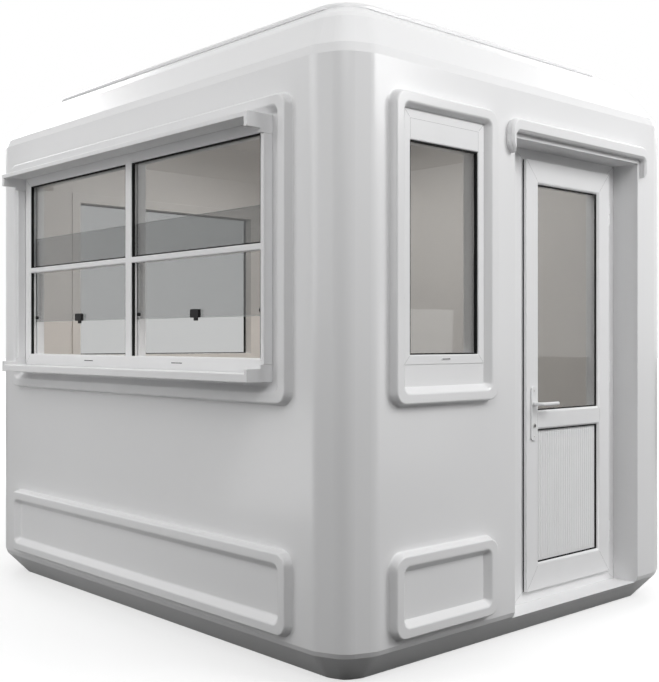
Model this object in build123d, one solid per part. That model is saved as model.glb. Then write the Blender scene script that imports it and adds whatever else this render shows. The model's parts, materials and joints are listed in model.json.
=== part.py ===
"""A fibreglass kiosk cabin: one moulded shell on a chamfered base, with a serving window, a narrow
window, a back window and an outward opening door with a lever handle.

Millimetres, +Z up. The origin is on the ground at the middle of the plan. The door wall faces -Y, the
serving window faces -X. Widths of wall fittings are measured along the wall, heights from the ground.
"""

import os
from math import radians, sqrt, tan

from build123d import *

# Shell: plan size, wall, and the outline of its section from ground to roof
WIDTH = 2150.0
LENGTH = 2700.0
WALL = 60.0
CORNER_REACH = 155.0
CORNER_SOFTNESS = 0.65
CORNER_LAP = 25.0
BASE_INSET = 105.0
BASE_REACH = 85.0
CHAMFER_TOP = 113.0
FOOT_BAND = 17.0
FOOT_BEND = 11.0
WALL_HEAD = 2190.0
EAVE_RISE = 32.0
SLOPE_RISE = 158.0
SHOULDER_INSET = 110.0
SHOULDER_REACH = 125.0
CROWN_RISE = 61.0
CROWN_INSET = 105.0
CROWN_REACH = 95.0
ROOF_BEND = 20.0
ROOF_THICKNESS = 70.0
PLATEAU_RISE = 24.0
PLATEAU_RADIUS = 150.0
PLATEAU_EDGE = 10.0
PLATEAU_GAP = 3.0

# Floor
FLOOR_LEVEL = 97.0
FLOOR_THICKNESS = 20.0

# Raised mouldings of the walls: a flat bead round a slightly raised field
BEAD_WIDTH = 37.0
BEAD_PROUD = 33.0
BEAD_SLOPE_OUT = 15.0
BEAD_SLOPE_IN = 41.0
BEAD_RADIUS = 48.0
FIELD_PROUD = 6.0

# Moulding places: margins from the wall's ends, head and foot to the outer edge of the flat bead
SIDE_BEAD_MARGIN = 272.0
BACK_BEAD_MARGIN = 365.0
NARROW_BEAD_MARGIN = 228.0
NARROW_BEAD_GAP = 145.0
UPPER_BEAD_BOTTOM = 978.0
UPPER_BEAD_DROP = 103.0
LOWER_BEAD_RISE = 20.0
LOWER_BEAD_HEIGHT = 293.0

# Window sections
FRAME_PROUD = 8.0
FRAME_DEPTH = 74.0
GLASS_RECESS = 17.0
GLASS_THICKNESS = 6.0
GASKET = 5.0
GASKET_SETBACK = 1.5
SASH_EDGE = 3.0

# Serving window, its frame set in from the moulding's bead at the sides
SERVING_MARGIN = 118.0
SERVING_STILE = 49.0
SERVING_SILL_RAIL = 53.0
SERVING_HEAD_RAIL = 43.0
MULLION = 49.0
TRANSOM = 25.0
TRANSOM_DROP = 460.0
SASH_LIFT = 211.0
SASH_GLASS = 5.0
SASH_HEIGHT = 413.0
SASH_CHANNEL = 10.0
SASH_FIT = 0.3
SASH_RECESS = 30.0
LATCH_WIDTH = 56.0
LATCH_HEIGHT = 34.0
LATCH_DEPTH = 13.0
LATCH_RADIUS = 5.0
LATCH_TAB = 22.0
LATCH_TAB_DROP = 12.0
LATCH_TAB_DEPTH = 7.0
KNOB_RADIUS = 8.0
KNOB_FLATS = 12
KNOB_HEIGHT = 11.0
KNOB_INSET = 23.0
KNOB_RISE = 21.0

# Hood, shelf and cheeks round the serving window
HOOD_OVERHANG = 22.0
HOOD_DROP = 64.0
HOOD_PLATE = 12.0
HOOD_LIP = 20.0
HOOD_REACH = 124.0
HOOD_BRACKET_DEPTH = 56.0
LIP_THICKNESS = 20.0
BRACKET_THICKNESS = 20.0
BRACKET_ROOT_REACH = 62.0
BRACKET_ROOT_DEPTH = 14.0
SHELF_RISE = 107.0
SHELF_LIP = 31.0
SHELF_PLATE = 14.0
SHELF_BRACKET_RISE = 18.0
CHEEK_THICKNESS = 17.0
CHEEK_REACH = 47.0

# Narrow window, set in from its moulding's bead
NARROW_MARGIN = 60.0
NARROW_RISE = 140.0
NARROW_DROP = 54.0
NARROW_STILE = 33.0
NARROW_SILL_RAIL = 35.0
NARROW_HEAD_PANEL = 110.0

# Back window, set in from its moulding's bead
BACK_MARGIN = 62.0
BACK_RISE = 98.0
BACK_DROP = 69.0
BACK_STILE = 49.0

# Doorway and door frame
DOORWAY_MARGIN = 305.0
DOORWAY_WIDTH = 908.0
DOORWAY_DROP = 178.0
DOOR_REVEAL = 125.0
LINER = 40.0
DOOR_FRAME_WIDTH = 762.0
DOOR_FRAME_DEPTH = 66.0
THRESHOLD_THICKNESS = 20.0
THRESHOLD_STEP = 1.0

# Door leaf
LEAF_MARGIN = 70.0
LEAF_HEAD_MARGIN = 45.0
LEAF_FOOT_MARGIN = 49.0
LEAF_FLANGE = 15.0
LEAF_OVERLAP = 22.0
RUNNING_GAP = 5.0
LEAF_CORE = 50.0
LEAF_STILE = 88.0
LEAF_TOP_RAIL = 99.0
LEAF_BOTTOM_RAIL = 113.0
MID_RAIL_BOTTOM = 826.0
MID_RAIL = 81.0
RIB_COUNT = 27
RIB_DEPTH = 3.0
PANEL_THICKNESS = 24.0
GLAZING_BEAD = 9.0

# Door hardware
HINGE_END_GAP = 183.0
HINGE_LENGTH = 96.0
HINGE_RADIUS = 7.5
HINGE_PIN_RADIUS = 4.0
HINGE_PIN_SHARE = 0.8
HINGE_PIN_FIT = 0.2
HINGE_SPLIT = 0.5
HINGE_GAP = 2.5
HINGE_LEAF = 3.0
PLATE_INSET = 43.0
PLATE_WIDTH = 34.0
PLATE_BOTTOM = 783.0
PLATE_HEIGHT = 226.0
PLATE_THICKNESS = 8.0
LEVER_RISE = 154.0
LEVER_REACH = 50.0
LEVER_LENGTH = 112.0
LEVER_BEND = 14.0
LEVER_SECTION = (15.0, 13.0)
LEVER_EDGE = 4.0
NECK_RADIUS = 10.0
NECK_LENGTH = 20.0
SPINDLE = 8.0
BORE_FIT = 0.4
CYLINDER_RISE = 62.0
CYLINDER_RADIUS = 8.5
CYLINDER_STAND = 4.0

# Door canopy bead, measured from the doorway's sides and head
CANOPY_LEFT_MARGIN = 43.0
CANOPY_RIGHT_MARGIN = 37.0
CANOPY_RISE = 64.0
CANOPY_BAND = 45.0
CANOPY_LEG = 20.0
CANOPY_LEG_DROP = 69.0
CANOPY_EDGE = 9.0

# Length by which a cutter passes the faces it opens
OVERRUN = 1.0

# Heights and half sizes that follow
HALF_WIDTH = WIDTH / 2
HALF_LENGTH = LENGTH / 2
WALL_FOOT = CHAMFER_TOP + FOOT_BAND
EAVE_HEIGHT = WALL_HEAD + EAVE_RISE
SHOULDER_HEIGHT = EAVE_HEIGHT + SLOPE_RISE
ROOF_HEIGHT = SHOULDER_HEIGHT + CROWN_RISE
ROOF_INSET = SHOULDER_INSET + CROWN_INSET
UPPER_BEAD_TOP = WALL_HEAD - UPPER_BEAD_DROP
LOWER_BEAD_BOTTOM = WALL_FOOT + LOWER_BEAD_RISE
LOWER_BEAD_TOP = LOWER_BEAD_BOTTOM + LOWER_BEAD_HEIGHT
SIDE_BEAD_HALF = HALF_LENGTH - SIDE_BEAD_MARGIN
BACK_BEAD_HALF = HALF_WIDTH - BACK_BEAD_MARGIN
SERVING_HALF = SIDE_BEAD_HALF - SERVING_MARGIN
HOOD_HALF = SERVING_HALF + HOOD_OVERHANG
HOOD_TOP = UPPER_BEAD_TOP - HOOD_DROP
SHELF_TOP = UPPER_BEAD_BOTTOM + SHELF_RISE
TRANSOM_MID = HOOD_TOP - HOOD_PLATE - TRANSOM_DROP
SASH_BOTTOM = SHELF_TOP + SASH_LIFT
DOORWAY_RIGHT = HALF_WIDTH - DOORWAY_MARGIN
DOORWAY_LEFT = DOORWAY_RIGHT - DOORWAY_WIDTH
DOORWAY_TOP = WALL_HEAD - DOORWAY_DROP
DOOR_FRAME_LEFT = DOORWAY_RIGHT - DOOR_FRAME_WIDTH
THRESHOLD_TOP = FLOOR_LEVEL + THRESHOLD_STEP
LEAF_LEFT = DOOR_FRAME_LEFT + LEAF_MARGIN
LEAF_RIGHT = DOORWAY_RIGHT - LEAF_MARGIN
LEAF_BOTTOM = THRESHOLD_TOP + LEAF_FOOT_MARGIN
LEAF_TOP = DOORWAY_TOP - LEAF_HEAD_MARGIN
MID_RAIL_TOP = MID_RAIL_BOTTOM + MID_RAIL
HINGE_HEIGHTS = (
    LEAF_BOTTOM + HINGE_END_GAP,
    (LEAF_BOTTOM + LEAF_TOP) / 2,
    LEAF_TOP - HINGE_END_GAP,
)
PLATE_MID = LEAF_LEFT + PLATE_INSET
PLATE_TOP = PLATE_BOTTOM + PLATE_HEIGHT
LEVER_HEIGHT = PLATE_BOTTOM + LEVER_RISE
CYLINDER_HEIGHT = PLATE_BOTTOM + CYLINDER_RISE
CANOPY_LEFT = DOORWAY_LEFT - CANOPY_LEFT_MARGIN
CANOPY_RIGHT = DOORWAY_RIGHT + CANOPY_RIGHT_MARGIN
CANOPY_TOP = DOORWAY_TOP + CANOPY_RISE
CANOPY_LEG_BOTTOM = DOORWAY_TOP - CANOPY_LEG_DROP

# Each wall's outer face as a plane: x runs along the wall, y runs up, z points outward
FRONT = Plane((0, -HALF_LENGTH, 0), x_dir=(1, 0, 0), z_dir=(0, -1, 0))
BACK = Plane((0, HALF_LENGTH, 0), x_dir=(-1, 0, 0), z_dir=(0, 1, 0))
SERVING = Plane((-HALF_WIDTH, 0, 0), x_dir=(0, -1, 0), z_dir=(-1, 0, 0))
FAR = Plane((HALF_WIDTH, 0, 0), x_dir=(0, 1, 0), z_dir=(1, 0, 0))


def cuboid(x0, x1, y0, y1, z0, z1):
    """Box between two corners."""
    return Pos((x0 + x1) / 2, (y0 + y1) / 2, (z0 + z1) / 2) * Box(x1 - x0, y1 - y0, z1 - z0)


def block(wall, left, right, bottom, top, inner, outer, radius=0.0):
    """Plate on a wall from depth inner to depth outer, with its four corners rounded if asked."""
    plane = wall.offset(inner)
    shape = Rectangle(right - left, top - bottom)
    if radius > 0:
        shape = RectangleRounded(right - left, top - bottom, radius)
    return extrude(plane * Pos((left + right) / 2, (bottom + top) / 2) * shape, amount=outer - inner)


def ring(wall, outer_box, inner_box, inner, outer, radius=0.0):
    """Rectangular frame on a wall between two boxes of (left, right, bottom, top)."""
    return block(wall, *outer_box, inner, outer, radius) - block(wall, *inner_box, inner, outer)


def shrink(box, amount):
    """The same box with each side moved in."""
    left, right, bottom, top = box
    return (left + amount, right - amount, bottom + amount, top - amount)


def outline(inset, reach, soft=True):
    """Plan outline of the shell, moved in by inset, each corner cut in two flats, soft or sharp."""
    half_x = HALF_WIDTH - inset
    half_y = HALF_LENGTH - inset
    cut = reach * (1 - sqrt(0.5))
    quarter = [(half_x, half_y - reach), (half_x - cut, half_y - cut), (half_x - reach, half_y)]
    points = list(quarter)
    points += [(-x, y) for x, y in reversed(quarter)]
    points += [(-x, -y) for x, y in quarter]
    points += [(x, -y) for x, y in reversed(quarter)]
    if soft:
        return make_face(FilletPolyline(*points, radius=reach * CORNER_SOFTNESS, close=True))
    return make_face(Polyline(*points, close=True))


def lining_outline():
    """Plan outline of the walls' inner faces."""
    return outline(WALL, CORNER_REACH - WALL, soft=False)


def bent(sections, setback):
    """The sections with each inner bend eased by a short slope that starts setback away from it."""
    points = [Vector(*section) for section in sections]
    eased = [points[0]]
    for before, here, after in zip(points, points[1:], points[2:]):
        eased.append(here + (before - here).normalized() * setback)
        eased.append(here + (after - here).normalized() * setback)
    eased.append(points[-1])
    return [(point.X, point.Y, point.Z) for point in eased]


def shell_loft(sections, soft=True):
    """Solid through outlines given as (height, inset, corner reach)."""
    faces = [Pos(0, 0, z) * outline(inset, reach, soft) for z, inset, reach in sections]
    solids = [loft(pair, ruled=True) for pair in zip(faces, faces[1:])]
    return solids[0].fuse(*solids[1:])


def wall_ring():
    """The four walls and corners as one ring, before it is parted."""
    outer = outline(0, CORNER_REACH)
    return Pos(0, 0, WALL_FOOT) * extrude(outer - lining_outline(), amount=WALL_HEAD - WALL_FOOT)


def moulding(wall, box):
    """Bead with sloping flanks round a raised field, standing on a wall's face."""
    left, right, bottom, top = box
    spread = BEAD_PROUD * tan(radians(BEAD_SLOPE_OUT))
    root = shrink(box, -spread)
    middle = Pos((left + right) / 2, (bottom + top) / 2)
    foot = RectangleRounded(root[1] - root[0], root[3] - root[2], BEAD_RADIUS + spread)
    body = extrude(wall * middle * foot, amount=BEAD_PROUD, taper=BEAD_SLOPE_OUT)
    mouth_box = shrink(box, BEAD_WIDTH)
    mouth = RectangleRounded(
        mouth_box[1] - mouth_box[0], mouth_box[3] - mouth_box[2], BEAD_RADIUS - BEAD_WIDTH / 2
    )
    depth = BEAD_PROUD - FIELD_PROUD
    pocket = extrude(wall.offset(BEAD_PROUD) * middle * mouth, amount=-depth, taper=BEAD_SLOPE_IN)
    return body - pocket


def upper_box(left, right):
    """Outer edge of an upper moulding's bead."""
    return (left, right, UPPER_BEAD_BOTTOM, UPPER_BEAD_TOP)


def lower_box(left, right):
    """Outer edge of a lower moulding's bead."""
    return (left, right, LOWER_BEAD_BOTTOM, LOWER_BEAD_TOP)


def narrow_span():
    """Left and right edge of the mouldings between the corner and the doorway."""
    return NARROW_BEAD_MARGIN - HALF_WIDTH, DOORWAY_LEFT - NARROW_BEAD_GAP


def through(wall, box):
    """Cutter that passes the whole wall and its field inside a box."""
    return block(wall, *box, -WALL - OVERRUN, BEAD_PROUD + OVERRUN)


def base_tray():
    """Chamfered base with a pocket for the floor and a step under the doorway."""
    sections = [
        (0, BASE_INSET, BASE_REACH),
        (CHAMFER_TOP, 0, CORNER_REACH),
        (WALL_FOOT, 0, CORNER_REACH),
    ]
    pocket_floor = FLOOR_LEVEL - FLOOR_THICKNESS
    pocket = Pos(0, 0, pocket_floor) * extrude(lining_outline(), amount=WALL_FOOT - pocket_floor)
    step = cuboid(
        DOORWAY_LEFT,
        DOORWAY_RIGHT,
        -HALF_LENGTH,
        -HALF_LENGTH + WALL,
        THRESHOLD_TOP - THRESHOLD_THICKNESS,
        WALL_FOOT,
    )
    return shell_loft(bent(sections, FOOT_BEND)) - pocket - step


def threshold():
    """White sill plate between the doorway's sides, flush with the chamfer."""
    setback = BASE_INSET * (CHAMFER_TOP - THRESHOLD_TOP) / CHAMFER_TOP
    front = -HALF_LENGTH + setback
    back = -HALF_LENGTH + DOOR_REVEAL + DOOR_FRAME_DEPTH
    lower = THRESHOLD_TOP - THRESHOLD_THICKNESS
    return cuboid(DOORWAY_LEFT, DOORWAY_RIGHT, front, back, lower, THRESHOLD_TOP)


def floor_deck():
    """Floor sheet that fills the base's pocket, cut out behind the threshold."""
    deck = extrude(lining_outline(), amount=FLOOR_THICKNESS)
    deck = Pos(0, 0, FLOOR_LEVEL - FLOOR_THICKNESS) * deck
    back = -HALF_LENGTH + DOOR_REVEAL + DOOR_FRAME_DEPTH
    return deck - cuboid(DOORWAY_LEFT, DOORWAY_RIGHT, -HALF_LENGTH, back, 0, FLOOR_LEVEL + OVERRUN)


def roof_shell():
    """Roof moulding: eave, two slopes and the hollow of the ceiling inside."""
    sections = [
        (WALL_HEAD, 0, CORNER_REACH),
        (EAVE_HEIGHT, 0, CORNER_REACH),
        (SHOULDER_HEIGHT, SHOULDER_INSET, SHOULDER_REACH),
        (ROOF_HEIGHT, ROOF_INSET, CROWN_REACH),
    ]
    outer = shell_loft(bent(sections, ROOF_BEND))
    inner_reach = CORNER_REACH - WALL
    hollow = shell_loft(
        [
            (WALL_HEAD, WALL, inner_reach),
            (EAVE_HEIGHT - WALL / 3, WALL, inner_reach),
            (ROOF_HEIGHT - ROOF_THICKNESS, SHOULDER_INSET + WALL, inner_reach),
        ],
        soft=False,
    )
    return outer - hollow


def roof_plateau():
    """Low raised slab on the roof with rounded corners, a bevelled top edge and a shadow gap under it."""
    width = WIDTH - 2 * ROOF_INSET
    length = LENGTH - 2 * ROOF_INSET
    foot_shape = RectangleRounded(
        width - 2 * PLATEAU_GAP, length - 2 * PLATEAU_GAP, PLATEAU_RADIUS - PLATEAU_GAP
    )
    foot = extrude(Pos(0, 0, ROOF_HEIGHT) * foot_shape, amount=PLATEAU_GAP)
    base = Pos(0, 0, ROOF_HEIGHT + PLATEAU_GAP)
    slab_shape = RectangleRounded(width, length, PLATEAU_RADIUS)
    slab = extrude(base * slab_shape, amount=PLATEAU_RISE - PLATEAU_GAP)
    return foot + chamfer(slab.faces().sort_by(Axis.Z)[-1].edges(), PLATEAU_EDGE)


def corner(shell, side_x, side_y):
    """One corner of the shell with a short lap of wall each side."""
    lap = CORNER_REACH + CORNER_LAP
    x0, x1 = sorted((side_x * (HALF_WIDTH + OVERRUN), side_x * (HALF_WIDTH - lap)))
    y0, y1 = sorted((side_y * (HALF_LENGTH + OVERRUN), side_y * (HALF_LENGTH - lap)))
    return shell & cuboid(x0, x1, y0, y1, WALL_FOOT, WALL_HEAD)


def wall_slab(wall, left, right, bottom=WALL_FOOT, top=WALL_HEAD):
    """Plain length of a wall."""
    return block(wall, left, right, bottom, top, -WALL, 0)


def serving_box():
    """Outer edge of the serving window's frame, between the shelf and the hood's plate."""
    return (-SERVING_HALF, SERVING_HALF, SHELF_TOP, HOOD_TOP - HOOD_PLATE)


def narrow_box():
    """Outer edge of the narrow window's frame."""
    left, right = narrow_span()
    bottom = UPPER_BEAD_BOTTOM + NARROW_RISE
    return (left + NARROW_MARGIN, right - NARROW_MARGIN, bottom, UPPER_BEAD_TOP - NARROW_DROP)


def back_box():
    """Outer edge of the back window's frame."""
    half = BACK_BEAD_HALF - BACK_MARGIN
    return (-half, half, UPPER_BEAD_BOTTOM + BACK_RISE, UPPER_BEAD_TOP - BACK_DROP)


def left_wall():
    """Serving wall with its two mouldings and the window hole."""
    reach = HALF_LENGTH - CORNER_REACH - CORNER_LAP
    slab = wall_slab(SERVING, -reach, reach)
    slab += moulding(SERVING, upper_box(-SIDE_BEAD_HALF, SIDE_BEAD_HALF))
    slab += moulding(SERVING, lower_box(-SIDE_BEAD_HALF, SIDE_BEAD_HALF))
    return slab - through(SERVING, serving_box())


def right_wall():
    """Blind long wall with the same mouldings."""
    reach = HALF_LENGTH - CORNER_REACH - CORNER_LAP
    slab = wall_slab(FAR, -reach, reach)
    slab += moulding(FAR, upper_box(-SIDE_BEAD_HALF, SIDE_BEAD_HALF))
    return slab + moulding(FAR, lower_box(-SIDE_BEAD_HALF, SIDE_BEAD_HALF))


def back_wall():
    """Back wall with one wide window."""
    reach = HALF_WIDTH - CORNER_REACH - CORNER_LAP
    slab = wall_slab(BACK, -reach, reach)
    slab += moulding(BACK, upper_box(-BACK_BEAD_HALF, BACK_BEAD_HALF))
    slab += moulding(BACK, lower_box(-BACK_BEAD_HALF, BACK_BEAD_HALF))
    return slab - through(BACK, back_box())


def front_wall():
    """Window side of the door wall."""
    left = -(HALF_WIDTH - CORNER_REACH - CORNER_LAP)
    slab = wall_slab(FRONT, left, DOORWAY_LEFT)
    slab += moulding(FRONT, upper_box(*narrow_span()))
    slab += moulding(FRONT, lower_box(*narrow_span()))
    return slab - through(FRONT, narrow_box())


def front_pier():
    """Strip of the door wall on the hinge side."""
    return wall_slab(FRONT, DOORWAY_RIGHT, HALF_WIDTH - CORNER_REACH - CORNER_LAP)


def door_head():
    """Strip of the door wall over the doorway."""
    return wall_slab(FRONT, DOORWAY_LEFT, DOORWAY_RIGHT, DOORWAY_TOP)


def door_canopy():
    """Raised bead over the doorway with its two ends turned down, round at the ends."""
    spread = BEAD_PROUD * tan(radians(BEAD_SLOPE_OUT))
    top = CANOPY_TOP + spread
    left = CANOPY_LEFT - spread
    right = CANOPY_RIGHT + spread
    band = FRONT * Pos((left + right) / 2, (top + CANOPY_LEG_BOTTOM) / 2)
    outer = band * RectangleRounded(right - left, top - CANOPY_LEG_BOTTOM, BEAD_RADIUS)
    inner_left = CANOPY_LEFT + CANOPY_LEG
    inner_right = CANOPY_RIGHT - CANOPY_LEG
    inner_top = CANOPY_TOP - CANOPY_BAND
    inner_bottom = CANOPY_LEG_BOTTOM - BEAD_RADIUS
    inner = FRONT * Pos((inner_left + inner_right) / 2, (inner_top + inner_bottom) / 2)
    hole = inner * RectangleRounded(inner_right - inner_left, inner_top - inner_bottom, CANOPY_LEG)
    shape = outer - hole
    below = FRONT * Pos((left + right) / 2, CANOPY_LEG_BOTTOM)
    shape -= below * Rectangle(2 * (inner_right - inner_left) - (right - left), 2 * BEAD_RADIUS)
    bead = extrude(shape, amount=BEAD_PROUD)
    return chamfer(bead.faces().sort_by(Axis.Y)[0].edges(), CANOPY_EDGE)


def reveal_boxes():
    """The doorway's inward box: left side, right side and head."""
    y0 = -HALF_LENGTH + WALL
    y1 = -HALF_LENGTH + DOOR_REVEAL + DOOR_FRAME_DEPTH
    foot = FLOOR_LEVEL
    head = DOORWAY_TOP
    left = cuboid(DOORWAY_LEFT - LINER, DOORWAY_LEFT, y0, y1, foot, head)
    right = cuboid(DOORWAY_RIGHT, DOORWAY_RIGHT + LINER, y0, y1, foot, head)
    top = cuboid(DOORWAY_LEFT - LINER, DOORWAY_RIGHT + LINER, y0, y1, head, head + LINER)
    return left, right, top


def frame_planes():
    """Depths of the door frame on the front wall: face and back."""
    return -DOOR_REVEAL, -DOOR_REVEAL - DOOR_FRAME_DEPTH


def leaf_box():
    """Outer edge of the door leaf."""
    return (LEAF_LEFT, LEAF_RIGHT, LEAF_BOTTOM, LEAF_TOP)


def door_infill():
    """Fixed panel beside the door frame on the handle side."""
    face, rear = frame_planes()
    return block(FRONT, DOORWAY_LEFT, DOOR_FRAME_LEFT, THRESHOLD_TOP, DOORWAY_TOP, rear, face)


def door_frame():
    """Outer frame that the leaf closes against."""
    face, rear = frame_planes()
    outer = (DOOR_FRAME_LEFT, DOORWAY_RIGHT, THRESHOLD_TOP, DOORWAY_TOP)
    return ring(FRONT, outer, shrink(leaf_box(), LEAF_OVERLAP), rear, face)


def glass_boxes():
    """The leaf's two openings: glass above and ribbed panel below."""
    left = LEAF_LEFT + LEAF_STILE
    right = LEAF_RIGHT - LEAF_STILE
    upper = (left, right, MID_RAIL_TOP, LEAF_TOP - LEAF_TOP_RAIL)
    lower = (left, right, LEAF_BOTTOM + LEAF_BOTTOM_RAIL, MID_RAIL_BOTTOM)
    return upper, lower


def leaf_depths():
    """Depths of the leaf: outer face, back of the flange and back of the core."""
    face, _ = frame_planes()
    flange_back = face + RUNNING_GAP
    return flange_back + LEAF_FLANGE, flange_back, flange_back - LEAF_CORE


def leaf_frame():
    """Leaf with a proud flange, a narrower core and a middle rail."""
    outer, flange_back, core_back = leaf_depths()
    core_box = shrink(leaf_box(), LEAF_OVERLAP + RUNNING_GAP)
    leaf = block(FRONT, *leaf_box(), flange_back, outer)
    leaf += block(FRONT, *core_box, core_back, flange_back)
    for box in glass_boxes():
        leaf -= block(FRONT, *box, core_back, outer)
        leaf -= splay(FRONT, box, outer, GLAZING_BEAD)
    return leaf - keyway(core_back, outer)


def keyway(depth0, depth1):
    """Clear bores for the lever's spindle and the key cylinder."""
    lever_bore = Pos(PLATE_MID, LEVER_HEIGHT) * Circle(NECK_RADIUS + BORE_FIT)
    key_bore = Pos(PLATE_MID, CYLINDER_HEIGHT) * Circle(CYLINDER_RADIUS)
    return extrude(FRONT.offset(depth0) * (lever_bore + key_bore), amount=depth1 - depth0)


def glazing(wall, box, face, thickness=GLASS_THICKNESS):
    """Pane in a frame's opening."""
    outer = face - GLASS_RECESS
    return block(wall, *box, outer - thickness, outer)


def gasket(wall, box, face, splayed):
    """Black seal round the front of a pane, up to where the opening's edge starts to splay."""
    front = face - splayed - GASKET_SETBACK
    return ring(wall, box, shrink(box, GASKET), face - GLASS_RECESS, front)


def splay(wall, box, face, depth):
    """Cutter that opens a box's mouth at 45 degrees over a depth."""
    left, right, bottom, top = shrink(box, -depth)
    mouth = wall.offset(face) * Pos((left + right) / 2, (bottom + top) / 2)
    return extrude(mouth * Rectangle(right - left, top - bottom), amount=-depth, taper=45)


def ribbed_panel():
    """Lower door panel with upright grooves on its outer side."""
    outer, _, _ = leaf_depths()
    _, box = glass_boxes()
    left, right, bottom, top = box
    face = outer - GLASS_RECESS
    pitch = (right - left) / RIB_COUNT
    panel = block(FRONT, *box, face - PANEL_THICKNESS, face)
    half = pitch / 4
    groove_plane = Plane((left, -HALF_LENGTH - face, bottom), x_dir=(1, 0, 0), z_dir=(0, 0, 1))
    grooves = Sketch()
    for index in range(1, RIB_COUNT):
        middle = index * pitch
        grooves += Polygon((middle - half, 0), (middle + half, 0), (middle, RIB_DEPTH), align=None)
    return panel - extrude(groove_plane * grooves, amount=top - bottom)


def sash_depths():
    """Depths of a sliding pane's outer and inner face."""
    outer = FRAME_PROUD - SASH_RECESS
    return outer, outer - SASH_GLASS


def serving_frame():
    """White window frame with a mullion and a transom, and side channels for the sliding panes."""
    face = FRAME_PROUD
    rear = face - FRAME_DEPTH
    outer, inner = sash_depths()
    frame = block(SERVING, *serving_box(), rear, face)
    lights = serving_lights()
    for box in lights:
        frame -= block(SERVING, *box, outer + SASH_FIT, face)
        frame -= splay(SERVING, box, face, SASH_EDGE)
    for lower, upper in zip(lights[:2], lights[2:]):
        left, right, bottom, _ = lower
        top = upper[3]
        channel = (left - SASH_CHANNEL, right + SASH_CHANNEL, bottom, top)
        frame -= block(SERVING, *channel, inner - SASH_FIT, outer + SASH_FIT)
        frame -= block(SERVING, left, right, bottom, top, rear, inner - SASH_FIT)
    return frame


def serving_lights():
    """The four openings of the serving window: lower pair, then upper pair."""
    inner = SERVING_HALF - SERVING_STILE
    bottom = SHELF_TOP + SERVING_SILL_RAIL
    top = HOOD_TOP - HOOD_PLATE - SERVING_HEAD_RAIL
    low = TRANSOM_MID - TRANSOM / 2
    high = TRANSOM_MID + TRANSOM / 2
    half = MULLION / 2
    return [
        (-inner, -half, bottom, low),
        (half, inner, bottom, low),
        (-inner, -half, high, top),
        (half, inner, high, top),
    ]


def serving_upper_glass():
    """Two fixed panes over the transom."""
    panes = [glazing(SERVING, box, FRAME_PROUD) for box in serving_lights()[2:]]
    return Compound(children=panes)


def sash_glass(box):
    """Frameless sliding pane, raised behind the upper light."""
    left, right, _, _ = box
    outer, inner = sash_depths()
    reach = SASH_CHANNEL - SASH_FIT
    top = SASH_BOTTOM + SASH_HEIGHT
    return block(SERVING, left - reach, right + reach, SASH_BOTTOM, top, inner, outer)


def sash_latch(box):
    """Black latch at the lower middle of a sliding pane, with a finger tab below its edge."""
    left, right, _, _ = box
    middle = (left + right) / 2
    outer, _ = sash_depths()
    half = LATCH_WIDTH / 2
    top = SASH_BOTTOM + LATCH_HEIGHT
    body = block(SERVING, middle - half, middle + half, SASH_BOTTOM, top,
                 outer, outer + LATCH_DEPTH, LATCH_RADIUS)
    half = LATCH_TAB / 2
    foot = SASH_BOTTOM - LATCH_TAB_DROP
    tab_top = SASH_BOTTOM + LATCH_RADIUS
    return body + block(SERVING, middle - half, middle + half, foot, tab_top,
                        outer, outer + LATCH_TAB_DEPTH)


def bracket_sides():
    """Left and right edge of the two end brackets."""
    inner = HOOD_HALF - BRACKET_THICKNESS
    return [(-HOOD_HALF, -inner), (inner, HOOD_HALF)]


def serving_hood():
    """Projecting top plate with a front lip and deeper end brackets."""
    plate = block(SERVING, -HOOD_HALF, HOOD_HALF, HOOD_TOP - HOOD_PLATE, HOOD_TOP,
                  FIELD_PROUD, HOOD_REACH)
    plate += block(SERVING, -HOOD_HALF, HOOD_HALF, HOOD_TOP - HOOD_LIP, HOOD_TOP,
                   HOOD_REACH - LIP_THICKNESS, HOOD_REACH)
    for left, right in bracket_sides():
        foot = HOOD_TOP - HOOD_BRACKET_DEPTH
        plate += block(SERVING, left, right, foot, HOOD_TOP, FIELD_PROUD, HOOD_REACH)
        plate += block(SERVING, left, right, foot - BRACKET_ROOT_DEPTH, foot,
                       FIELD_PROUD, BRACKET_ROOT_REACH)
    return plate


def serving_shelf():
    """Counter shelf with a front lip and end brackets that stand above it."""
    bottom = SHELF_TOP - SHELF_LIP
    shelf = block(SERVING, -HOOD_HALF, HOOD_HALF, SHELF_TOP - SHELF_PLATE, SHELF_TOP,
                  FIELD_PROUD, HOOD_REACH)
    shelf += block(SERVING, -HOOD_HALF, HOOD_HALF, bottom, SHELF_TOP,
                   HOOD_REACH - LIP_THICKNESS, HOOD_REACH)
    for left, right in bracket_sides():
        head = SHELF_TOP + SHELF_BRACKET_RISE
        shelf += block(SERVING, left, right, bottom, head, FIELD_PROUD, HOOD_REACH)
        shelf += block(SERVING, left, right, head, head + BRACKET_ROOT_DEPTH,
                       FIELD_PROUD, BRACKET_ROOT_REACH)
    return shelf


def serving_cheek(side):
    """Upright strip that joins the hood's bracket to the shelf's."""
    left, right = sorted((side * HOOD_HALF, side * (HOOD_HALF - CHEEK_THICKNESS)))
    foot = SHELF_TOP + SHELF_BRACKET_RISE + BRACKET_ROOT_DEPTH
    head = HOOD_TOP - HOOD_BRACKET_DEPTH - BRACKET_ROOT_DEPTH
    return block(SERVING, left, right, foot, head, FIELD_PROUD, CHEEK_REACH)


def window_frame(wall, box, light):
    """Frame between a box and its light, with the light's front edge splayed."""
    frame = ring(wall, box, light, FRAME_PROUD - FRAME_DEPTH, FRAME_PROUD)
    return frame - splay(wall, light, FRAME_PROUD, SASH_EDGE)


def narrow_frame():
    """Narrow window frame with a wide blank head."""
    return window_frame(FRONT, narrow_box(), narrow_light())


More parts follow.
